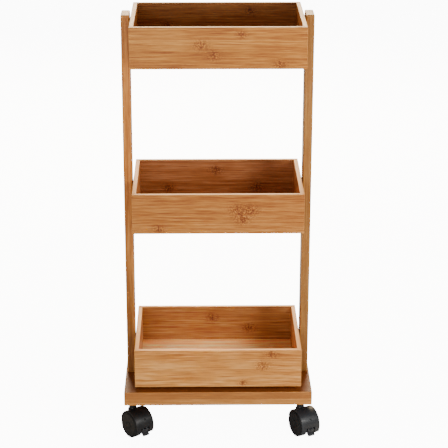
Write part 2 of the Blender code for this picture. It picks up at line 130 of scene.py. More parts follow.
class Shader:
    """A material whose nodes are written as nested calls, each returning an output socket."""

    def __init__(self, name):
        self.material = bpy.data.materials.new(name)
        self.material.use_nodes = True
        self.tree = self.material.node_tree
        self.surface = self.tree.nodes["Principled BSDF"]

    def node(self, kind, inputs=(), **settings):
        """Add a node, set its properties and fill its inputs by number or by name."""
        made = self.tree.nodes.new(kind)
        for key, value in settings.items():
            setattr(made, key, value)
        for key, value in dict(inputs).items():
            self.fill(made.inputs[key], value)
        return made

    def fill(self, socket, value):
        """Link a socket, or set its constant."""
        if isinstance(value, bpy.types.NodeSocket):
            self.tree.links.new(value, socket)
        elif isinstance(value, (tuple, list)) and len(value) == 3 and socket.type == "RGBA":
            socket.default_value = (*value, 1.0)
        else:
            socket.default_value = value

    def math(self, operation, first, second=0.0):
        """One maths step."""
        return self.node("ShaderNodeMath", {0: first, 1: second}, operation=operation).outputs[0]

    def multiplied(self, *values):
        """The product of several values."""
        product = values[0]
        for value in values[1:]:
            product = self.math("MULTIPLY", product, value)
        return product

    def vector(self, x, y, z):
        """Join three numbers into a vector."""
        return self.node("ShaderNodeCombineXYZ", {0: x, 1: y, 2: z}).outputs[0]

    def split(self, vector):
        """The three numbers of a vector."""
        return list(self.node("ShaderNodeSeparateXYZ", {0: vector}).outputs)

    def noise(self, vector, detail=2.0, roughness=0.5, distortion=0.0):
        """Noise, 0 to 1, one lump per unit of the vector."""
        inputs = {"Vector": vector, "Scale": 1.0, "Detail": detail, "Roughness": roughness,
                  "Distortion": distortion}
        return self.node("ShaderNodeTexNoise", inputs).outputs["Fac"]

    def mix(self, factor, first, second, blend="MIX"):
        """Mix two colours."""
        inputs = {"Factor": factor, 6: first, 7: second}
        made = self.node("ShaderNodeMix", inputs, data_type="RGBA", blend_type=blend)
        return made.outputs[2]

    def stained(self, color, stain):
        """A colour multiplied by another one."""
        return self.mix(1.0, color, stain, "MULTIPLY")

    def ramp(self, factor, stops):
        """A colour ramp through (place, colour) stops."""
        made = self.node("ShaderNodeValToRGB", {0: factor})
        ramp = made.color_ramp
        while len(ramp.elements) < len(stops):
            ramp.elements.new(0.5)
        for element, (place, color) in zip(ramp.elements, stops):
            element.position = place
            element.color = (*color, 1.0)
        return made.outputs[0]

    def remap(self, value, low, high, to_low=0.0, to_high=1.0, smooth=True):
        """Rescale a value between two limits."""
        inputs = {0: value, 1: low, 2: high, 3: to_low, 4: to_high}
        kind = "SMOOTHSTEP" if smooth else "LINEAR"
        return self.node("ShaderNodeMapRange", inputs, interpolation_type=kind).outputs[0]

    def bell(self, value, width):
        """1 where the value is 0, falling to nothing past the width."""
        scaled = self.math("DIVIDE", value, width)
        return self.math("EXPONENT", self.multiplied(scaled, scaled, -1.0))

    def sum(self, values):
        """Add several values."""
        total = values[0]
        for value in values[1:]:
            total = self.math("ADD", total, value)
        return total

    def bump(self, height, strength, distance):
        """A bump normal."""
        inputs = {"Strength": strength, "Distance": distance, "Height": height}
        return self.node("ShaderNodeBump", inputs).outputs[0]

    def finish(self, color, roughness, normal, **constants):
        """Wire the surface and set its constant inputs."""
        self.fill(self.surface.inputs["Base Color"], color)
        self.fill(self.surface.inputs["Roughness"], roughness)
        self.fill(self.surface.inputs["Normal"], normal)
        for key, value in constants.items():
            self.surface.inputs[key.replace("_", " ")].default_value = value
        return self.material


# ------------------------------------------------------------------- materials


def bamboo(name, grain, across, seed, marks, start, layer, layer_start, look):
    """Laminated bamboo. grain and across are axis numbers, marks (grain, across, size) knuckles."""
    shader = Shader(name)
    maths, times = shader.math, shader.multiplied
    coords = shader.node("ShaderNodeTexCoord")
    axes = shader.split(coords.outputs["Object"])
    depth_axis = 3 - grain - across
    along = axes[grain]
    side = maths("SUBTRACT", axes[across], start)
    depth = maths("SUBTRACT", axes[depth_axis], layer_start)

    # Which lath and layer a point is in, and a steady random number for each.
    layer_index = maths("FLOOR", maths("DIVIDE", depth, layer))
    shifted = maths("ADD", maths("DIVIDE", side, LATH_WIDTH), times(layer_index, LAYER_STAGGER))
    lath_index = maths("FLOOR", shifted)
    lath_share = maths("SUBTRACT", shifted, lath_index)
    cell = shader.vector(lath_index, layer_index, float(seed))
    chance = shader.node("ShaderNodeTexWhiteNoise", {"Vector": cell},
                         noise_dimensions="3D").outputs[0]

    # Knuckles: where a lath crosses a joint of the cane.
    near, ridges = [0.0], [0.0]
    for mark_along, mark_across, size in marks:
        gone = maths("SUBTRACT", along, mark_along)
        off = maths("SUBTRACT", axes[across], mark_across)
        band = shader.bell(off, KNUCKLE_WIDTH * size)
        near.append(times(shader.bell(gone, KNUCKLE_LENGTH * size), band))
        bent = maths("ADD", gone, times(off, off, RIDGE_BEND))
        ridges.append(times(shader.bell(bent, RIDGE_LENGTH * size), band))
    knuckle = maths("MINIMUM", shader.sum(near), 1.0)
    ridge = maths("MINIMUM", shader.sum(ridges), 1.0)

    # The grain bends round the knuckles, and chance gives each lath its own run of it.
    wander = shader.noise(shader.vector(times(along, 7.0), times(side, 40.0), depth))
    swirled = shader.vector(times(along, 160.0), times(side, 240.0), times(depth, 240.0))
    swirl = shader.noise(swirled, detail=1.0)
    bend = maths("ADD", times(maths("SUBTRACT", wander, 0.5), WANDER_REACH),
                 times(maths("SUBTRACT", swirl, 0.5), knuckle, SWIRL_REACH))
    side = maths("ADD", maths("ADD", side, bend), times(chance, 0.31))
    along = maths("ADD", along, times(chance, 5.3))

    def streaks(stretch, spread, detail, roughness):
        """Noise drawn out along the grain."""
        place = shader.vector(times(along, stretch), times(side, spread), times(depth, spread))
        return shader.noise(place, detail, roughness)

    def grained(stretch, spread):
        """The board's own coordinates, scaled along the grain and across it."""
        return shader.vector(times(axes[grain], stretch), times(axes[across], spread),
                             times(axes[depth_axis], spread))

    broad = streaks(*BROAD_STREAKS)
    middle = streaks(*MIDDLE_STREAKS)
    fine = streaks(*FINE_STREAKS)
    bundles = streaks(*BUNDLE_STREAKS)
    mottle = shader.noise(coords.outputs["Object"], detail=1.0)
    parts = (broad, middle, fine, chance, mottle)
    shade = shader.sum([times(part, share) for part, share in zip(parts, SHADE_SHARES)])

    # The wood's colour, in this board's tone and tint, which on the tray insides and posts carry
    # painted light and shade.
    stops = [(place, [min(BRIGHTEST_WOOD, look["tone_and_painted_light"] * value * share)
                      for value, share in zip(color, look["tint_and_painted_light"])])
             for place, color in WOOD_COLORS]
    layered = shader.sum([shade, times(layer_index, -look["layer_step"])])
    base = shader.ramp(shader.remap(layered, *SHADE_LIMITS, smooth=False), stops)

    # Painted shade: a post is darker towards the floor; other boards have 1 at both limits.
    foot_shade_factor = shader.remap(axes[grain], *PAINTED_FOOT_SHADE_HEIGHTS, look["foot"], 1.0)
    base = shader.stained(base, shader.vector(foot_shade_factor, foot_shade_factor, foot_shade_factor))

    # Dark fibre bundles, glue lines, and the dotted, redder wood of the knuckles.
    dashes = times(shader.remap(bundles, 0.56, 0.74), DASH_STRENGTH)
    colored = shader.mix(dashes, base, shader.stained(base, DASH_STAIN))
    from_middle = maths("ABSOLUTE", maths("SUBTRACT", lath_share, 0.5))
    to_edge = times(maths("SUBTRACT", 0.5, from_middle), LATH_WIDTH)
    layer_share = maths("FRACT", maths("DIVIDE", depth, layer))
    to_layer = times(maths("MINIMUM", layer_share, maths("SUBTRACT", 1.0, layer_share)), layer)
    lines = maths("MAXIMUM", shader.bell(to_edge, GLUE_LINE), shader.bell(to_layer, GLUE_LINE))
    glue = times(lines, GLUE_STRENGTH)
    colored = shader.mix(glue, colored, shader.stained(colored, GLUE_STAIN))
    cells = shader.node("ShaderNodeTexVoronoi", {"Vector": grained(330.0, 420.0), "Scale": 1.0})
    dots = shader.remap(cells.outputs["Distance"], 0.25, 0.62)
    knuckle_color = shader.mix(dots, shader.stained(colored, KNUCKLE_STAIN),
                               shader.stained(colored, DOT_STAIN))
    colored = shader.mix(times(knuckle, KNUCKLE_STRENGTH), colored, knuckle_color)
    colored = shader.mix(times(ridge, RIDGE_STRENGTH), colored,
                         shader.stained(colored, RIDGE_STAIN))

    # Cut and rounded edges are paler, with a little wear; board ends show the cut fibres.
    facing = [maths("ABSOLUTE", value) for value in shader.split(coords.outputs["Normal"])]
    flatness = maths("MAXIMUM", maths("MAXIMUM", facing[0], facing[1]), facing[2])
    rounded = shader.remap(flatness, 0.995, 0.90)
    worn = times(rounded, shader.remap(fine, 0.35, 0.65, 0.35, 0.95))
    cut_face = shader.remap(facing[across], 0.8, 0.95)
    end_face = shader.remap(facing[grain], 0.8, 0.95)
    pale = maths("MAXIMUM", times(worn, EDGE_WEAR), times(cut_face, look["edge_pale"]))
    colored = shader.mix(pale, colored, EDGE_COLOR)
    speckle = shader.remap(shader.noise(grained(300.0, 1100.0), detail=1.0), 0.45, 0.65)
    colored = shader.mix(times(end_face, END_STRENGTH), colored, shader.mix(speckle, *END_COLORS))

    streaked = maths("ADD", times(middle, 0.6), times(fine, 0.4))
    roughness = shader.remap(streaked, 0.3, 0.7, *WOOD_ROUGHNESS)
    height = shader.sum([times(fine, 0.5), times(middle, 0.3), times(dashes, -0.9),
                         times(glue, -0.8), times(dots, knuckle, -0.8), times(ridge, 0.6)])
    normal = shader.bump(height, 0.30, 0.25 * MM)
    return shader.finish(colored, roughness, normal, Specular_IOR_Level=0.30, Coat_Weight=0.06,
                         Coat_Roughness=0.32, IOR=1.45)


def lightened(color, factor, step):
    """A lighter colour of the same hue, or nearly."""
    return [min(1.0, value * factor + step) for value in color]


def moulded(name, color, roughness, wear=0.5, specular=0.5):
    """Moulded plastic: a fine spark-eroded grain, faint flow marks, and paler rubbed edges."""
    shader = Shader(name)
    maths, times = shader.math, shader.multiplied
    place = shader.node("ShaderNodeTexCoord").outputs["Object"]

    def scaled(scale):
        """The moulding's own coordinates, scaled."""
        inputs = {0: place, "Scale": scale}
        return shader.node("ShaderNodeVectorMath", inputs, operation="SCALE").outputs[0]

    grain = shader.noise(scaled(1.0 / PLASTIC_GRAIN), 2.0, 0.6)
    flow = shader.noise(scaled(PLASTIC_FLOW), 3.0, 0.6, 0.4)
    dust = times(shader.remap(flow, 0.50, 0.75), 0.35)
    toned = shader.mix(dust, color, lightened(color, *DUST_LIFT))
    geometry = shader.node("ShaderNodeNewGeometry")
    edge = shader.remap(geometry.outputs["Pointiness"], 0.52, 0.60)
    rubbed = times(edge, shader.remap(flow, 0.35, 0.6, 0.3, 1.0), wear)
    toned = shader.mix(rubbed, toned, lightened(color, *RUB_LIFT))
    rough = maths("ADD", shader.remap(flow, 0.3, 0.7, roughness - 0.06, roughness + 0.08),
                  times(grain, 0.05))
    normal = shader.bump(grain, 0.22, 0.12 * MM)
    return shader.finish(toned, rough, normal, Specular_IOR_Level=specular, IOR=1.47)


def brushed_metal(name, color, roughness, turned_about=2):
    """Steel or zinc plate: turning lines round the part, with faint stains."""
    shader = Shader(name)
    maths, times = shader.math, shader.multiplied
    axes = shader.split(shader.node("ShaderNodeTexCoord").outputs["Object"])
    scales = [TURNING_PLAIN] * 3
    scales[turned_about] = TURNING_FINE
    turned = shader.vector(*[times(axis, scale) for axis, scale in zip(axes, scales)])
    lines = shader.noise(turned, 2.0, 0.6)
    spots = shader.noise(shader.vector(*[times(axis, METAL_SPOTS) for axis in axes]), 3.0, 0.6)
    spotted = shader.mix(shader.remap(spots, 0.45, 0.75, 0.0, 0.5), color,
                         [value * 0.62 for value in color])
    toned = shader.mix(times(lines, 0.25), spotted, [value * 0.8 for value in color])
    rough = maths("ADD", shader.remap(spots, 0.3, 0.7, roughness - 0.06, roughness + 0.1),
                  times(lines, 0.06))
    return shader.finish(toned, rough, shader.bump(lines, 0.18, 0.06 * MM), Metallic=1.0)


# ---------------------------------------------------------------------- meshes


def loose(bm, name):
    """A bmesh as an object of its own."""
    bmesh.ops.recalc_face_normals(bm, faces=bm.faces)
    mesh = bpy.data.meshes.new(name)
    bm.to_mesh(mesh)
    bm.free()
    item = bpy.data.objects.new(name, mesh)
    bpy.context.scene.collection.objects.link(item)
    return item


def piece_from(bm, name, material, body, replaced):
    """Turn a bmesh in the cart's frame into a shown piece that rides on a body."""
    item = loose(bm, name)
    item.data.materials.append(material)
    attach(item, body)
    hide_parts(*replaced)
    return item


def smooth_by_angle(item, degrees=34.0):
    """Smooth shading, with real corners kept sharp."""
    item.data.shade_smooth()
    item.data.set_sharp_from_angle(angle=math.radians(degrees))


def carve(bm, tools, operation="DIFFERENCE"):
    """Apply one exact boolean per tool and return the shape as a new bmesh."""
    item = loose(bm, "temporary")
    for tool_bm in tools:
        tool = loose(tool_bm, "temporary")
        modifier = item.modifiers.new("carve", "BOOLEAN")
        modifier.operation = operation
        modifier.solver = "EXACT"
        modifier.object = tool
        depsgraph = bpy.context.evaluated_depsgraph_get()
        result = bpy.data.meshes.new_from_object(item.evaluated_get(depsgraph))
        item.modifiers.remove(modifier)
        item.data = result
        bpy.data.objects.remove(tool, do_unlink=True)
    carved = bmesh.new()
    carved.from_mesh(item.data)
    bpy.data.objects.remove(item, do_unlink=True)
    return carved


def rounded_box(low, high, radius):
    """A box with every edge rounded; only the rounding is shaded smooth."""
    bm = bmesh.new()
    bmesh.ops.create_cube(bm, size=1.0)
    size = high - low
    for vertex in bm.verts:
        vertex.co = Vector(a * b for a, b in zip(vertex.co, size)) + (low + high) / 2
    made = bmesh.ops.bevel(bm, geom=list(bm.edges), offset=radius, segments=ROUND_STEPS,
                           profile=0.5, affect="EDGES")
    for face in made["faces"]:
        face.smooth = True
    return bm


def lathe(profile, segments, place):
    """Turn (radius, height) points about Z; a point of no radius closes the end."""
    bm = bmesh.new()
    rings = []
    for radius, height in profile:
        if radius == 0.0:
            rings.append([bm.verts.new((0.0, 0.0, height))])
            continue
        ring = []
        for step in range(segments):
            angle = 2 * math.pi * step / segments
            ring.append(bm.verts.new((radius * math.cos(angle), radius * math.sin(angle), height)))
        rings.append(ring)
    for lower, upper in zip(rings, rings[1:]):
        for step in range(segments):
            following = (step + 1) % segments
            if len(lower) == 1:
                bm.faces.new((lower[0], upper[step], upper[following]))
            elif len(upper) == 1:
                bm.faces.new((lower[step], lower[following], upper[0]))
            else:
                bm.faces.new((lower[step], lower[following], upper[following], upper[step]))
    bm.transform(place)
    return bm


def arc(radius, start_deg, end_deg, steps):
    """Points on a circle, both ends included."""
    turns = [math.radians(start_deg + (end_deg - start_deg) * step / steps)
             for step in range(steps + 1)]
    return [(radius * math.cos(angle), radius * math.sin(angle)) for angle in turns]


def rounded_section(corners, radii, steps=4):
    """A closed outline through corners, each rounded to its own radius."""
    outline = []
    count = len(corners)
    for index, (corner, radius) in enumerate(zip(corners, radii)):
        here = Vector(corner)
        if radius == 0.0:
            outline.append(tuple(here))
            continue
        before = (Vector(corners[index - 1]) - here).normalized()
        after = (Vector(corners[(index + 1) % count]) - here).normalized()
        start, end = here + before * radius, here + after * radius
        for step in range(steps + 1):
            share = step / steps
            near = start.lerp(here, share)
            far = here.lerp(end, share)
            outline.append(tuple(near.lerp(far, share)))
    return outline


def sweep(section, start_deg, end_deg, steps, place):
    """Carry a closed (radius, y) outline round the Y axis, and cap both ends."""
    bm = bmesh.new()
    rings = []
    for step in range(steps + 1):
        angle = math.radians(start_deg + (end_deg - start_deg) * step / steps)
        rings.append([bm.verts.new((radius * math.cos(angle), y, radius * math.sin(angle)))
                      for radius, y in section])
    count = len(section)
    for near, far in zip(rings, rings[1:]):
        for index in range(count):
            following = (index + 1) % count
            bm.faces.new((near[index], near[following], far[following], far[index]))
    bm.faces.new(rings[0])
    bm.faces.new(list(reversed(rings[-1])))
    bm.transform(place)
    return bm


def slab(outline, start, end, place):
    """Extrude an (x, z) outline along Y."""
    bm = bmesh.new()
    near = [bm.verts.new((x, start, z)) for x, z in outline]
    far = [bm.verts.new((x, end, z)) for x, z in outline]
    bm.faces.new(near)
    bm.faces.new(list(reversed(far)))
    count = len(outline)
    for index in range(count):
        following = (index + 1) % count
        bm.faces.new((near[index], far[index], far[following], near[following]))
    bm.transform(place)
    return bm


# ----------------------------------------------------------------------- wood

# Knuckles of the boards that have set ones: (along the grain, across it, size).
MARKS = {
    "top_tray_front": [(-0.029, 0.7308, 1.0), (-0.0072, 0.7126, 0.9), (0.039, 0.7490, 0.7),
                       (0.1036, 0.6971, 0.9)],
    "middle_tray_front": [(0.034, 0.4372, 1.2), (0.060, 0.4378, 1.0), (0.0432, 0.4203, 1.0),
                          (-0.1034, 0.4027, 0.8)],
    "bottom_tray_front": [(0.0963, 0.1637, 0.9), (0.0806, 0.1409, 1.0), (0.0446, 0.1075, 0.7)],
    "top_tray_back": [(0.060, 0.7458, 0.9), (-0.090, 0.7187, 0.9)],
    "middle_tray_back": [(-0.001, 0.4467, 1.0), (-0.0904, 0.4112, 0.9),
                         (0.075, 0.4143, 1.0)],
    "bottom_tray_back": [(-0.0085, 0.1485, 1.0), (0.0617, 0.1275, 1.0)],
    "bottom_tray_floor": [(-0.003, 0.030, 0.8), (0.070, -0.040, 1.0), (-0.090, -0.055, 0.9)],
    "base_board": [(-0.0281, 0.052, 0.9), (0.070, -0.060, 1.0), (-0.110, -0.030, 1.0)],
    "left_post": [(0.213, 0.006, 0.8), (0.520, -0.010, 0.8)],
    "right_post": [(0.2134, -0.014, 0.7), (0.600, 0.010, 0.8)],
}

# Looks of single boards: how light and which tint the wood is, how pale its cut long edges are,
# how much darker each layer is than the one below, and how light a post is at the floor, a painted
# shade. Tones and tints also hold painted light and shade: the tray back walls and inner sides are
# painted darker as shade, the bottom tray's floor lighter as painted light, and the two posts get
# different tones and tints as painted light and shade.
TONES_AND_PAINTED_LIGHT = {
    "top_tray_front": 0.955, "middle_tray_front": 0.89, "bottom_tray_front": 1.08,
    "top_tray_back": 0.64, "middle_tray_back": 0.56, "bottom_tray_back": 0.60,
    "top_tray_floor": 0.8, "middle_tray_floor": 1.0, "bottom_tray_floor": 1.9,
    "left_post": 1.02, "right_post": 0.54, "base_board": 0.80,
}
# The tray insides' paler tints are painted shade, and the bottom tray floor's tint is painted light.
TINTS_AND_PAINTED_LIGHT = {
    "top_tray_back": (1.0, 1.10, 1.6), "top_tray_floor": (1.0, 1.10, 1.6),
    "middle_tray_front": (1.0, 1.02, 1.3), "middle_tray_back": (1.0, 0.93, 1.7),
    "middle_tray_left": (1.0, 1.1, 2.0), "middle_tray_right": (1.0, 1.1, 2.0),
    "middle_tray_floor": (1.0, 1.1, 2.2),
    "bottom_tray_front": (1.0, 1.10, 1.6), "bottom_tray_back": (1.0, 1.09, 1.9),
    "bottom_tray_left": (1.0, 1.25, 3.0), "bottom_tray_right": (1.0, 1.15, 2.4),
    "bottom_tray_floor": (1.0, 1.33, 3.3),
    "left_post": (1.0, 0.93, 0.95), "right_post": (1.0, 1.12, 1.4), "base_board": (1.0, 1.05, 1.6),
}
# The two posts are one bamboo: their different tones, tints and edge paleness are painted light and
# shade, and each post's darker foot is painted shade.
EDGE_PALE = {"left_post": 0.02, "right_post": 0.16, "base_board": 0.16}
LAYER_STEP = {"base_board": 0.17}
PAINTED_FOOT_SHADE = {"left_post": 0.36, "right_post": 0.62}
FIRST_SEED, SEED_STEP = 11, 3


def loose_marks(rng, low, high, grain, across, count):
    """Knuckles scattered over a board for which none are given."""
    found = []
    for _ in range(count):
        found.append((rng.uniform(low[grain], high[grain]),
                      rng.uniform(low[across], high[across]), rng.uniform(0.8, 1.1)))
    return found


def board_bamboo(node, grain, across, seed):
    """The bamboo of one board: its laths, layers, tone and knuckles."""
    low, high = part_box(node)
    rng = random.Random(seed)
    marks = MARKS.get(node) or loose_marks(rng, low, high, grain, across, 2)
    start = low[across] - rng.uniform(0.2, 0.6) * LATH_WIDTH
    depth_axis = 3 - grain - across
    thickness = high[depth_axis] - low[depth_axis]
    # A thick board has two layers; a thin one lies inside a single layer a metre deep.
    if thickness > THICK_BOARD:
        layer, layer_start = thickness / 2, low[depth_axis]
    else:
        layer, layer_start = 1.0, low[depth_axis] - 0.5
    look = {"tone_and_painted_light": TONES_AND_PAINTED_LIGHT.get(node, 1.0), "tint_and_painted_light": TINTS_AND_PAINTED_LIGHT.get(node, (1.0, 1.0, 1.0)),
            "edge_pale": EDGE_PALE.get(node, PALE_EDGE), "layer_step": LAYER_STEP.get(node, 0.0),
            "foot": PAINTED_FOOT_SHADE.get(node, 1.0)}
    return bamboo(f"bamboo_{node}", grain, across, seed, marks, start, layer, layer_start, look)


def make_board(node, grain, across, radius, seed, holes):
    """One bamboo board with rounded edges, and holes if it has any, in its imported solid's place."""
    low, high = (Vector(corner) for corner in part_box(node))
    joined_axes = {"floor": (0, 1), "left": (1,), "right": (1,)}.get(node.split("_")[-1], ())
    for axis in joined_axes:
        low[axis] -= JOINT_GROWTH
        high[axis] += JOINT_GROWTH
    shape = rounded_box(low, high, radius)
    if holes:
        shape = carve(shape, holes)
    material = board_bamboo(node, grain, across, seed)
    piece_from(shape, f"{node}_board", material, CART, [node])


def post_holes(side, side_x):
    """Countersunk seats for the shoulder bolts in a post's outer face."""
    low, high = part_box(f"{side}_post")
    outer = high.x if side_x > 0 else -low.x
    turn = Matrix.Rotation(math.radians(90.0 * side_x), 4, "Y")
    tools = []
    for tray in TRAYS:
        for end in ("front", "rear"):
            bolt_low, bolt_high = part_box(f"{tray}_tray_{side}_bolt_{end}")
            centre = (bolt_low + bolt_high) / 2
            radius = (bolt_high.y - bolt_low.y) / 2 + CLEARANCE
            mouth = radius + 0.8 * MM
            profile = [(0.0, outer - BOLT_SEAT), (radius, outer - BOLT_SEAT),
                       (radius, outer - 0.5 * MM), (mouth, outer + 0.3 * MM),
                       (mouth, outer + BOLT_SEAT), (0.0, outer + BOLT_SEAT)]
            place = Matrix.Translation((0.0, centre.y, centre.z)) @ turn
            tools.append(lathe(profile, HOLE_SIDES, place))
    return tools


def base_holes():
    """Seats under the base board for the inserts' barrels and the screws' heads."""
    tools = []
    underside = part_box("base_board")[0].z
    spots = [(f"{corner}_caster_insert", INSERT_BARREL) for corner in CORNERS]
    spots += [(f"{side}_post_screw_{end}", None)
              for side in ("left", "right") for end in ("front", "rear")]
    for node, barrel in spots:
        low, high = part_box(node)
        centre = (low + high) / 2
        radius = (barrel or (high.x - low.x) / 2) + CLEARANCE
        top = high.z if barrel else low.z + SCREW_SEAT
        start, end = underside - 5 * MM, top + CLEARANCE
        profile = [(0.0, start), (radius, start), (radius, end), (0.0, end)]
        tools.append(lathe(profile, HOLE_SIDES, Matrix.Translation((centre.x, centre.y, 0.0))))
    return tools


def make_wood():
    """Trays, posts and base board, each with a seed of its own."""
    walls = [("front", 0, 2, WALL_ROUND), ("back", 0, 2, WALL_ROUND), ("left", 1, 2, WALL_ROUND),
             ("right", 1, 2, WALL_ROUND), ("floor", 0, 1, FLOOR_ROUND)]
    boards = [(f"{tray}_tray_{wall}", *shape, ()) for tray in TRAYS for wall, *shape in walls]
    boards += [("left_post", 2, 1, POST_ROUND, post_holes("left", -1)),
               ("right_post", 2, 1, POST_ROUND, post_holes("right", 1)),
               ("base_board", 0, 1, BASE_ROUND, base_holes())]
    for index, (node, grain, across, radius, holes) in enumerate(boards):
        make_board(node, grain, across, radius, FIRST_SEED + SEED_STEP * index, holes)


# --------------------------------------------------------------------- casters


def caster_place(corner):
    """The caster's frame: stem axis at the origin, axle towards +X, floor at z = 0."""
    stem = Vector(JOINTS[f"{corner}_swivel"]["pos_m"])
    axle = Vector(JOINTS[f"{corner}_wheel_left_spin"]["pos_m"])
    reach = axle - stem
    angle = math.atan2(reach.y, reach.x)
    place = Matrix.Translation((stem.x, stem.y, 0.0)) @ Matrix.Rotation(angle, 4, "Z")
    return place, math.hypot(reach.x, reach.y), axle.z


# Casters: radii about the axle, half widths from the web's middle, and arcs in degrees from the
# trailing side upwards. The neck's top is above the floor, and its flare is in millimetres, as
# (beyond the neck's radius, above the axle).
HOOD_INNER = 24.6 * MM
HOOD_OUTER = 26.45 * MM
HOOD_HALF_WIDTH = 18.65 * MM
HOOD_ARC = (-30.5, 165.5)
WEB_HALF_WIDTH = 2.5 * MM
BOSS_RADIUS = 6.2 * MM
BOSS_ARC = (186.0, 319.0)
NECK_RADIUS = 6.6 * MM
NECK_TOP = 62.6 * MM
NECK_FLARE = [(2.2, 22.0), (1.1, 23.9), (0.4, 25.6), (0.0, 27.7)]
SLOT_HALF_WIDTH = 9.0 * MM
SLOT_ARC = (-40.0, 0.0)
NOTCH_ARC = (30.0, 36.0)
NOTCH_HALF_WIDTH = 3.0 * MM
WHEEL_RADIUS = 24.0 * MM
WHEEL_FACES = (5.5 * MM, 20.2 * MM)
WHEEL_GROOVES = (4.4 * MM, 8.2 * MM)
WHEEL_SIDES = 96
LEVER_PIVOT_RADIUS = 19.5 * MM
LEVER_PIVOT_DEG = -5.0
LEVER_RADII = (24.9 * MM, 26.75 * MM)
LEVER_ARC = (-30.0, -9.0)
LEVER_HALF_WIDTH = 6.8 * MM
LEVER_TAB = 32.4 * MM
LEVER_TAB_ARC = (-29.9, -23.2)
LEVER_RIBS_DEG = (-20.5, -17.5, -14.5)
LEVER_EAR = (2.9 * MM, 4.9 * MM)
LEVER_PIN_RADIUS = 1.4 * MM
LEVER_PIN_HALF = 4.6 * MM

# Caster plastics, and how light each corner's hood is against the common colour: the front right hood
# is painted lighter and the front left one darker, as painted light and shade.
HOOD_COLOR, HOOD_ROUGHNESS = (0.0085, 0.0095, 0.0115), 0.40
HOOD_PAINTED_LIGHT = {"front_left": 0.5, "front_right": 2.0, "rear_left": 1.0, "rear_right": 1.0}
WHEEL_COLOR, WHEEL_ROUGHNESS = (0.0035, 0.0035, 0.0040), 0.58
LEVER_COLOR, LEVER_ROUGHNESS = (0.028, 0.029, 0.032), 0.46


def make_hood(corner, place, trail, height, braked, plastic):
    """Cover, web and neck of one caster as one moulding."""
    at_axle = place @ Matrix.Translation((trail, 0.0, height))
    across = Matrix.Rotation(math.radians(-90.0), 4, "X")
    wide = HOOD_HALF_WIDTH
    corners = [(HOOD_INNER, -wide), (HOOD_OUTER, -wide), (HOOD_OUTER, wide), (HOOD_INNER, wide)]
    section = rounded_section(corners, [0.3 * MM, 1.1 * MM, 1.1 * MM, 0.3 * MM])
    cover = sweep(section, *HOOD_ARC, 48, at_axle)
    web_arc = arc(HOOD_INNER + 0.7 * MM, HOOD_ARC[0] + 0.8, HOOD_ARC[1] - 0.8, 40)
    web_outline = web_arc + arc(BOSS_RADIUS, *BOSS_ARC, 12)
    web = slab(web_outline, -WEB_HALF_WIDTH, WEB_HALF_WIDTH, at_axle)
    neck_profile = [(0.0, height + 15 * MM), (NECK_RADIUS + 2.2 * MM, height + 15 * MM)]
    neck_profile += [(NECK_RADIUS + out * MM, height + up * MM) for out, up in NECK_FLARE]
    neck_profile += [(NECK_RADIUS, NECK_TOP - 0.7 * MM),
                     (NECK_RADIUS - 0.2 * MM, NECK_TOP - 0.2 * MM),
                     (NECK_RADIUS - 0.7 * MM, NECK_TOP), (0.0, NECK_TOP)]
    wheel_rooms = []
    room_radius = HOOD_INNER + 0.6 * MM
    web_face = WEB_HALF_WIDTH - 0.3 * MM
    for low, high in ((-2 * wide, -web_face), (web_face, 2 * wide)):
        profile = [(0.0, low), (room_radius, low), (room_radius, high), (0.0, high)]
        wheel_rooms.append(lathe(profile, WHEEL_SIDES, at_axle @ across))
    neck = carve(lathe(neck_profile, 40, place), wheel_rooms)
    shape = carve(cover, [web, neck], "UNION")
    openings = [(NOTCH_ARC, NOTCH_HALF_WIDTH)]
    if braked:
        openings.append((SLOT_ARC, SLOT_HALF_WIDTH))
    tools = []
    inner, outer = HOOD_INNER - 1.4 * MM, HOOD_OUTER + 2 * MM
    for opening_arc, half in openings:
        outline = [(inner, -half), (outer, -half), (outer, half), (inner, half)]
        tools.append(sweep(outline, *opening_arc, 12, at_axle))
    hood = piece_from(carve(shape, tools), f"{corner}_hood", plastic, f"{corner}_caster",
                      [f"{corner}_caster_hood"])
    smooth_by_angle(hood)


def make_wheel(corner, side, place, trail, height, plastic):
    """A solid wheel with a crowned tread, two tread grooves and a dished outer face."""
    inner, outer = WHEEL_FACES
    full = WHEEL_RADIUS
    profile = [(0.0, inner), (full - 1.6 * MM, inner), (full - 0.6 * MM, inner + 0.3 * MM),
               (full - 0.1 * MM, inner + 1.2 * MM), (full, inner + 2.6 * MM)]
    for groove in WHEEL_GROOVES:
        middle, floor = inner + groove, full - 0.6 * MM
        profile += [(full, middle - 0.5 * MM), (floor, middle - 0.3 * MM),
                    (floor, middle + 0.3 * MM), (full, middle + 0.5 * MM)]
    profile += [(full, outer - 2.6 * MM), (full - 0.25 * MM, outer - 1.4 * MM),
                (full - 0.9 * MM, outer - 0.5 * MM), (full - 1.8 * MM, outer - 0.1 * MM),
                (full - 2.6 * MM, outer - 0.1 * MM), (full - 2.9 * MM, outer - 0.7 * MM),
                (full - 3.3 * MM, outer - 0.7 * MM), (full - 3.6 * MM, outer - 0.25 * MM),
                (7.0 * MM, outer - 0.45 * MM), (6.6 * MM, outer - 0.75 * MM),
                (6.2 * MM, outer - 0.75 * MM), (5.8 * MM, outer - 0.2 * MM),
                (3.0 * MM, outer - 0.02 * MM), (0.0, outer)]
    turn = Matrix.Rotation(math.radians(-90.0 if side == "left" else 90.0), 4, "X")
    axle = Matrix.Translation((trail, 0.0, height))
    shape = lathe(profile, WHEEL_SIDES, place @ axle @ turn)
    wheel = piece_from(shape, f"{corner}_wheel_{side}_tread", plastic, f"{corner}_wheel_{side}",
                       [f"{corner}_caster_wheel_{side}"])
    smooth_by_angle(wheel, 28.0)


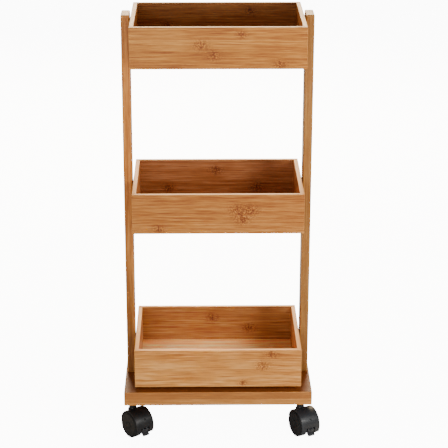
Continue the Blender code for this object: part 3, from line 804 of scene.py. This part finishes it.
def make_lever(corner, place, trail, height, plastic):
    """Curved brake pad with grip ribs and a toe tab, ears each side of the web, and its pin."""
    at_axle = place @ Matrix.Translation((trail, 0.0, height))
    half = LEVER_HALF_WIDTH
    inner, outer = LEVER_RADII
    corners = [(inner, -half), (outer, -half), (outer, half), (inner, half)]
    section = rounded_section(corners, [0.2 * MM, 0.6 * MM, 0.6 * MM, 0.2 * MM], 3)
    tab_half = half * 0.94
    tab = [(outer - 0.5 * MM, -tab_half), (LEVER_TAB, -tab_half), (LEVER_TAB, tab_half),
           (outer - 0.5 * MM, tab_half)]
    tab_section = rounded_section(tab, [0.0, 0.8 * MM, 0.8 * MM, 0.0], 3)
    added = [sweep(tab_section, *LEVER_TAB_ARC, 4, at_axle)]
    rib = [(outer - 0.4 * MM, -half * 0.7), (outer + 0.35 * MM, -half * 0.64),
           (outer + 0.35 * MM, half * 0.64), (outer - 0.4 * MM, half * 0.7)]
    for rib_deg in LEVER_RIBS_DEG:
        added.append(sweep(rib, rib_deg - 0.7, rib_deg + 0.7, 1, at_axle))
    pivot_angle = math.radians(LEVER_PIVOT_DEG)
    pivot_x = LEVER_PIVOT_RADIUS * math.cos(pivot_angle)
    pivot_z = LEVER_PIVOT_RADIUS * math.sin(pivot_angle)
    eye = [(x + pivot_x, z + pivot_z) for x, z in arc(2.4 * MM, 255.0, 75.0, 14)]
    tip = arc((inner + outer) / 2, LEVER_ARC[1] - 1.0, LEVER_ARC[1] - 9.0, 4)
    ear_low, ear_high = LEVER_EAR
    for low, high in ((-ear_high, -ear_low), (ear_low, ear_high)):
        added.append(slab(eye + tip, low, high, at_axle))
    across = Matrix.Rotation(math.radians(-90.0), 4, "X")
    pin_place = at_axle @ Matrix.Translation((pivot_x, 0.0, pivot_z)) @ across
    pin = [(0.0, -LEVER_PIN_HALF), (LEVER_PIN_RADIUS, -LEVER_PIN_HALF),
           (LEVER_PIN_RADIUS, LEVER_PIN_HALF), (0.0, LEVER_PIN_HALF)]
    added.append(lathe(pin, 24, pin_place))
    shape = carve(sweep(section, *LEVER_ARC, 14, at_axle), added, "UNION")
    lever = piece_from(shape, f"{corner}_lever_pad", plastic, f"{corner}_lever",
                       [f"{corner}_brake_lever"])
    smooth_by_angle(lever)


def make_insert(corner, zinc):
    """Flanged threaded insert in the underside of the base board."""
    low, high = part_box(f"{corner}_caster_insert")
    centre = (low + high) / 2
    flange = (high.x - low.x) / 2
    bore, barrel, seat = INSERT_BORE, INSERT_BARREL, low.z + INSERT_FLANGE
    profile = [(bore, low.z), (flange - 0.4 * MM, low.z), (flange, low.z + 0.4 * MM),
               (flange, seat), (barrel, seat), (barrel, high.z), (bore, high.z), (bore, low.z)]
    bm = lathe(profile, 48, Matrix.Translation((centre.x, centre.y, 0.0)))
    bmesh.ops.remove_doubles(bm, verts=bm.verts, dist=1e-7)
    insert = piece_from(bm, f"{corner}_insert_ring", zinc, CART,
                        [f"{corner}_caster_insert"])
    smooth_by_angle(insert)


def make_casters(materials):
    """Hood, wheels, lever and insert at each corner; stem and axle stay as packed."""
    for corner in CORNERS:
        # Painted light and shade: a front hood is made lighter or darker by how the light falls on
        # its corner.
        painted_hood_color = [HOOD_PAINTED_LIGHT[corner] * value for value in HOOD_COLOR]
        hood_plastic_and_painted_light = moulded(f"{corner}_hood_plastic_and_painted_light", painted_hood_color, HOOD_ROUGHNESS)
        place, trail, height = caster_place(corner)
        braked = f"{corner}_brake" in JOINTS
        make_hood(corner, place, trail, height, braked, hood_plastic_and_painted_light)
        for side in ("left", "right"):
            make_wheel(corner, side, place, trail, height, materials["wheel"])
        if braked:
            make_lever(corner, place, trail, height, materials["lever"])
        make_insert(corner, materials["zinc"])
        for node in (f"{corner}_caster_stem", f"{corner}_caster_axle"):
            frame["nodes"][node].data.materials.clear()
            frame["nodes"][node].data.materials.append(materials["steel"])


# --------------------------------------------------------------------- fixings

BOLT_HEAD = 3.0 * MM
BOLT_THREAD = 5.7 * MM
BOLT_CORE = 2.0 * MM
BOLT_SHOULDER = 3.0 * MM
BOLT_SOCKET = 2.3 * MM
SCREW_SHANK = 2.2 * MM
SCREW_POINT = 4.4 * MM
SCREW_CROSS = (2.2, 0.45)
STEEL_COLOR = (0.56, 0.56, 0.57)
ZINC_COLOR = (0.64, 0.64, 0.62)


def make_bolt(node, side_x, steel):
    """A shoulder bolt with a chamfered head and a hexagon socket."""
    low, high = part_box(node)
    centre = (low + high) / 2
    start, end = (low.x, high.x) if side_x > 0 else (-high.x, -low.x)
    head = (high.y - low.y) / 2
    seat = end - BOLT_HEAD
    shoulder = start + BOLT_THREAD
    profile = [(0.0, start), (BOLT_CORE - 0.5 * MM, start), (BOLT_CORE, start + 0.6 * MM),
               (BOLT_CORE, shoulder), (BOLT_SHOULDER, shoulder), (BOLT_SHOULDER, seat),
               (head, seat), (head, end - 0.7 * MM), (head - 0.2 * MM, end - 0.25 * MM),
               (head - 0.7 * MM, end), (0.0, end)]
    turn = Matrix.Rotation(math.radians(90.0 * side_x), 4, "Y")
    place = Matrix.Translation((0.0, centre.y, centre.z)) @ turn
    socket = [(0.0, end - 1.7 * MM), (BOLT_SOCKET, end - 1.5 * MM), (BOLT_SOCKET, end + 1 * MM),
              (0.0, end + 1 * MM)]
    shape = carve(lathe(profile, 40, place), [lathe(socket, 6, place)])
    bolt = piece_from(shape, f"{node}_head", steel, CART, [node])
    smooth_by_angle(bolt)


def make_screw(node, zinc):
    """A pan-head screw under the base board, with a cross recess."""
    low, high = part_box(node)
    centre = (low + high) / 2
    head = (high.x - low.x) / 2
    seat = low.z + SCREW_SEAT
    profile = [(0.0, low.z), (head * 0.55, low.z + 0.1 * MM), (head * 0.85, low.z + 0.5 * MM),
               (head, low.z + 1.3 * MM), (head, seat), (SCREW_SHANK, seat),
               (SCREW_SHANK, high.z - SCREW_POINT), (0.0, high.z)]
    place = Matrix.Translation((centre.x, centre.y, 0.0))
    tools = []
    for long_x, long_y in (SCREW_CROSS, SCREW_CROSS[::-1]):
        bm = bmesh.new()
        bmesh.ops.create_cube(bm, size=2.0)
        for vertex in bm.verts:
            taper = 1.0 if vertex.co.z < 0 else 0.7
            vertex.co = Vector((centre.x + vertex.co.x * long_x * MM * taper,
                                centre.y + vertex.co.y * long_y * MM * taper,
                                low.z + 0.5 * MM + vertex.co.z * 1.1 * MM))
        tools.append(bm)
    shape = carve(lathe(profile, 32, place), tools)
    screw = piece_from(shape, f"{node}_head", zinc, CART, [node])
    smooth_by_angle(screw)


def make_fixings(materials):
    """Every bolt and screw."""
    for side, side_x in (("left", -1), ("right", 1)):
        for end in ("front", "rear"):
            for tray in TRAYS:
                make_bolt(f"{tray}_tray_{side}_bolt_{end}", side_x, materials["bolt"])
            make_screw(f"{side}_post_screw_{end}", materials["zinc"])


# ----------------------------------------------------------------------- stage

FLOOR_LEVEL = -0.0002
FLOOR_REACH = 40.0
FLOOR_COLOR = (0.86, 0.86, 0.86)
# What the camera sees of the floor and the surroundings, and what the surroundings give as light.
BACKGROUND_GLOW = 11.0
WORLD_LIGHT = 0.16


def plain_material(name, color, glow):
    """Stage paper: matt, with enough glow to read as white."""
    material = bpy.data.materials.new(name)
    material.use_nodes = True
    nodes, links = material.node_tree.nodes, material.node_tree.links
    surface = nodes["Principled BSDF"]
    surface.inputs["Base Color"].default_value = (*color, 1.0)
    surface.inputs["Roughness"].default_value = 0.9
    surface.inputs["Specular IOR Level"].default_value = 0.0
    emission = nodes.new("ShaderNodeEmission")
    path = nodes.new("ShaderNodeLightPath")
    strength = nodes.new("ShaderNodeMath")
    strength.operation = "MULTIPLY"
    strength.inputs[1].default_value = glow
    links.new(path.outputs["Is Camera Ray"], strength.inputs[0])
    links.new(strength.outputs[0], emission.inputs["Strength"])
    added = nodes.new("ShaderNodeAddShader")
    links.new(surface.outputs[0], added.inputs[0])
    links.new(emission.outputs[0], added.inputs[1])
    links.new(added.outputs[0], nodes["Material Output"].inputs["Surface"])
    return material


def make_stage():
    """A wide pale floor."""
    bm = bmesh.new()
    bmesh.ops.create_grid(bm, x_segments=1, y_segments=1, size=FLOOR_REACH)
    mesh = bpy.data.meshes.new("floor")
    bm.to_mesh(mesh)
    bm.free()
    floor = bpy.data.objects.new("floor", mesh)
    floor.location.z = FLOOR_LEVEL
    bpy.context.scene.collection.objects.link(floor)
    mesh.materials.append(plain_material("stage_paper", FLOOR_COLOR, BACKGROUND_GLOW))


# Name, place, target, size, power, colour and spread in degrees: a key close in at the front right,
# low enough to reach under the top rim; a wide fill; a narrow weak light onto the bottom tray's
# floor; and a warm light from behind.
LIGHTS = [
    ("key", (0.74, -0.84, 0.74), (0.0, 0.0, 0.05), 0.32, 9.0, (1.0, 0.985, 0.96), 180.0),
    ("fill", (-0.4, -1.9, 0.78), (0.0, 0.0, 0.30), 0.9, 17.0, (1.0, 1.0, 1.0), 180.0),
    ("shelf", (-0.14, -1.15, 1.27), (-0.04, 0.055, 0.115), 0.06, 0.05, (1.0, 1.0, 1.0), 9.0),
    ("rim", (0.0, 2.2, 1.75), (0.0, 0.0, 0.4), 1.4, 115.0, (1.0, 0.80, 0.52), 180.0),
]


def area_light(name, place, target, size, power, color, spread_deg):
    """A square soft light aimed at a point."""
    data = bpy.data.lights.new(name, "AREA")
    data.size = size
    data.energy = power
    data.spread = math.radians(spread_deg)
    data.color = color
    lamp = bpy.data.objects.new(name, data)
    bpy.context.scene.collection.objects.link(lamp)
    lamp.location = place
    lamp.visible_camera = False
    lamp.rotation_euler = (Vector(target) - Vector(place)).to_track_quat("-Z", "Y").to_euler()


def make_world():
    """White surroundings: full white to the camera, softer as a light."""
    world = bpy.data.worlds.new("studio")
    bpy.context.scene.world = world
    world.use_nodes = True
    nodes, links = world.node_tree.nodes, world.node_tree.links
    background = nodes["Background"]
    background.inputs["Color"].default_value = (1.0, 1.0, 1.0, 1.0)
    path = nodes.new("ShaderNodeLightPath")
    strength = nodes.new("ShaderNodeMapRange")
    strength.inputs["To Min"].default_value = WORLD_LIGHT
    strength.inputs["To Max"].default_value = BACKGROUND_GLOW
    links.new(path.outputs["Is Camera Ray"], strength.inputs["Value"])
    links.new(strength.outputs["Result"], background.inputs["Strength"])


# Camera place and turns in metres and radians, and its lens in pixels of a square frame.
CAMERA_DISTANCE = 2.6
CAMERA_X = -0.0312
CAMERA_HEIGHT = 1.3303
CAMERA_PITCH = 0.3326
CAMERA_YAW = 0.0110
FOCAL_PIXELS = 1529.0
FRAME_PIXELS = 448
SHIFT_PIXELS = (8.0, 29.8)


def make_camera():
    """From the front, a little above, with a small shift of the lens."""
    data = bpy.data.cameras.new("camera")
    data.sensor_width = 36.0
    data.lens = FOCAL_PIXELS * data.sensor_width / FRAME_PIXELS
    data.shift_x = SHIFT_PIXELS[0] / FRAME_PIXELS
    data.shift_y = -SHIFT_PIXELS[1] / FRAME_PIXELS
    data.clip_end = 100.0
    camera = bpy.data.objects.new("camera", data)
    bpy.context.scene.collection.objects.link(camera)
    camera.location = (CAMERA_X, -CAMERA_DISTANCE, CAMERA_HEIGHT)
    forward = Vector((math.sin(CAMERA_YAW) * math.cos(CAMERA_PITCH),
                      math.cos(CAMERA_YAW) * math.cos(CAMERA_PITCH), -math.sin(CAMERA_PITCH)))
    camera.rotation_euler = forward.to_track_quat("-Z", "Y").to_euler()
    bpy.context.scene.camera = camera


def main():
    """Build the cart's looks and the studio round it."""
    materials = {
        "wheel": moulded("wheel_plastic_grain", WHEEL_COLOR, WHEEL_ROUGHNESS, wear=0.9,
                         specular=0.28),
        "lever": moulded("lever_plastic_grain", LEVER_COLOR, LEVER_ROUGHNESS),
        "steel": brushed_metal("steel_turned", STEEL_COLOR, 0.34),
        "bolt": brushed_metal("steel_bolt", STEEL_COLOR, 0.32, turned_about=0),
        "zinc": brushed_metal("zinc_plate", ZINC_COLOR, 0.42),
    }
    make_camera()
    make_world()
    for light in LIGHTS:
        area_light(*light)
    make_stage()
    make_wood()
    make_casters(materials)
    make_fixings(materials)


main()
